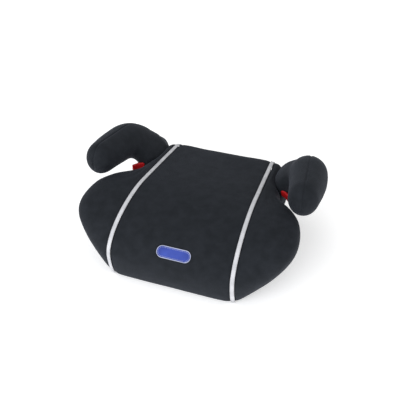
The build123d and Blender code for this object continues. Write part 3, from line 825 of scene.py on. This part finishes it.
finish_piece(hem, fabric, "hem_fabric", "hem_band", "hem_elastic")
downwards = np.tile([0.0, 0.0, -1.0], (len(hem_row), 1))
hem_stitches = stitch_row("hem_stitches", hem_row, downwards, 3.4 * MM, 1.6 * MM, 0.35 * MM)
finish_piece(hem_stitches, thread_dark, "hem_fabric")

# ---------- finishes of the CAD pieces that stay in view ----------
shell_plastic = plastic_material("shell_plastic", (0.012, 0.012, 0.013), (0.02, 0.02, 0.022), 0.5)
GUIDE_REDS = (0.50, 0.008, 0.010), (0.62, 0.012, 0.016)
guide_plastic = plastic_material("guide_plastic", *GUIDE_REDS, 0.3, 120.0, 0.05)
rubber = plastic_material("rubber", (0.016, 0.016, 0.016), (0.03, 0.03, 0.03), 0.8, 500.0, 0.3)
zinc = metal_material("zinc", (0.62, 0.63, 0.65), 0.35)
dark_steel = metal_material("dark_steel", (0.12, 0.12, 0.13), 0.4)
brass = metal_material("brass", (0.72, 0.53, 0.24), 0.35)
elastic = fabric_material("elastic", (0.015, 0.015, 0.017), (0.03, 0.03, 0.034), 1.1 * MM, 0.6, 0.05, 0.75)
cad_finishes = {
    "base_shell": shell_plastic, "rubber_feet": rubber, "elastic_loops": elastic,
    "belt_guide_screws": zinc, "arm_core_screws": zinc, "arm_washers": zinc,
    "arm_bolts": dark_steel, "arm_inserts": brass,
}
for word in ("left", "right"):
    cad_finishes[f"belt_guide_{word}"] = guide_plastic
    cad_finishes[f"arm_core_inner_{word}"] = shell_plastic
    cad_finishes[f"arm_core_outer_{word}"] = shell_plastic
for node, material in cad_finishes.items():
    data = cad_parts[node].data
    data.materials.clear()
    data.materials.append(material)

# ---------- stage: pale floor, soft light, camera ----------
def area_light(name, place, target, size, power, color=(1, 1, 1)):
    light = bpy.data.lights.new(name, "AREA")
    light.shape = "RECTANGLE"
    light.size, light.size_y = size
    light.energy = power
    light.color = color
    holder = bpy.data.objects.new(name, light)
    bpy.context.scene.collection.objects.link(holder)
    holder.location = place
    holder.rotation_mode = "QUATERNION"
    holder.rotation_quaternion = (Vector(target) - Vector(place)).to_track_quat("-Z", "Y")


FLOOR = 20.0
floor_corners = [(x * FLOOR, y * FLOOR, 0) for x, y in ((-1, -1), (1, -1), (1, 1), (-1, 1))]
floor = mesh_object("floor", floor_corners, [[0, 1, 2, 3]])
floor_material, floor_nodes, floor_links, floor_shader = new_material("floor", (0.93, 0.93, 0.93), 0.9)
floor_shader.inputs["Emission Color"].default_value = (1, 1, 1, 1)
floor_shader.inputs["Emission Strength"].default_value = 0.4
clear = floor_nodes.new("ShaderNodeBsdfTransparent")
one_sided = floor_nodes.new("ShaderNodeMixShader")
floor_links.new(floor_nodes.new("ShaderNodeNewGeometry").outputs["Backfacing"], one_sided.inputs[0])
floor_links.new(floor_shader.outputs[0], one_sided.inputs[1])
floor_links.new(clear.outputs[0], one_sided.inputs[2])
floor_links.new(one_sided.outputs[0], floor_nodes["Material Output"].inputs["Surface"])
floor.data.materials.append(floor_material)

world = bpy.data.worlds.new("studio")
bpy.context.scene.world = world
world.use_nodes = True
world.node_tree.nodes["Background"].inputs["Color"].default_value = (1, 1, 1, 1)
backdrop = world.node_tree.nodes.new("ShaderNodeLightPath").outputs["Is Camera Ray"]
strength = math_node(world.node_tree.nodes, world.node_tree.links, "MULTIPLY", backdrop, 0.4)
strength = math_node(world.node_tree.nodes, world.node_tree.links, "ADD", strength, 0.6)
world.node_tree.links.new(strength, world.node_tree.nodes["Background"].inputs["Strength"])
target = (0, 0, 0.1)
area_light("key", (-0.7, -2.0, 1.1), target, (1.8, 1.2), 34, (0.94, 0.96, 1.0))
area_light("top", (0.1, 0.3, 2.2), target, (2.2, 1.6), 5)
area_light("side", (1.9, -0.9, 0.8), target, (1.2, 1.2), 7, (0.94, 0.96, 1.0))

camera_data = bpy.data.cameras.new("camera")
camera_data.lens, camera_data.sensor_width = 59.7, 36
camera = bpy.data.objects.new("camera", camera_data)
bpy.context.scene.collection.objects.link(camera)
camera.location = (0.3549, -0.9855, 0.8480)
camera.rotation_mode = "QUATERNION"
camera.rotation_quaternion = (Vector((-0.0003, -0.0057, 0.0974)) - camera.location).to_track_quat("-Z", "Y")
bpy.context.scene.camera = camera
bpy.context.scene.view_settings.view_transform = "Standard"
